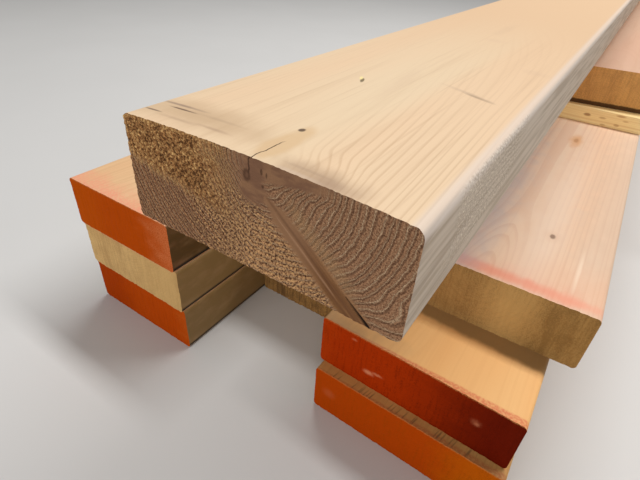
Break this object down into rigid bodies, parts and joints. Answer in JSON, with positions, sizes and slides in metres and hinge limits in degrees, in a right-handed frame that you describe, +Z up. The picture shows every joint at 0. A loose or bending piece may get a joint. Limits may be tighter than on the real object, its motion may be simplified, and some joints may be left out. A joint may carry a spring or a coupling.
{
  "type": "stack of lumber",
  "caption": "Low stack of planed softwood boards in side-by-side columns, with cross battens and a wide board pulled forward on top.",
  "frame": {"origin": "centre of the bounding box, on the floor under the stack", "axes": "+Z up, +Y along the boards from the near ends to the far ends, +X across the boards to the right"},
  "size_m": [0.402, 2.585, 0.263],
  "materials": {
    "top_board": "planed, matt, with a rough sawn end",
    "column_boards": "planed, matt, some ends sprayed orange or red",
    "carrier_boards": "planed, matt, with brown sawn ends",
    "battens": "sawn, matt"
  },
  "bodies": {
    "root": {"left_board_bottom": "column_boards", "left_board_middle": "column_boards", "left_board_top": "column_boards", "centre_board_bottom": "column_boards", "centre_board_middle": "column_boards", "centre_board_top": "column_boards", "right_board_bottom": "column_boards", "right_board_middle": "column_boards", "right_board_top": "column_boards", "lower_batten_1": "battens", "lower_batten_2": "battens", "lower_batten_3": "battens", "upper_batten_1": "battens", "upper_batten_2": "battens", "upper_batten_3": "battens", "carrier_board_left": "carrier_boards", "carrier_board_right": "carrier_boards", "top_board": "top_board"}
  },
  "joints": []
}
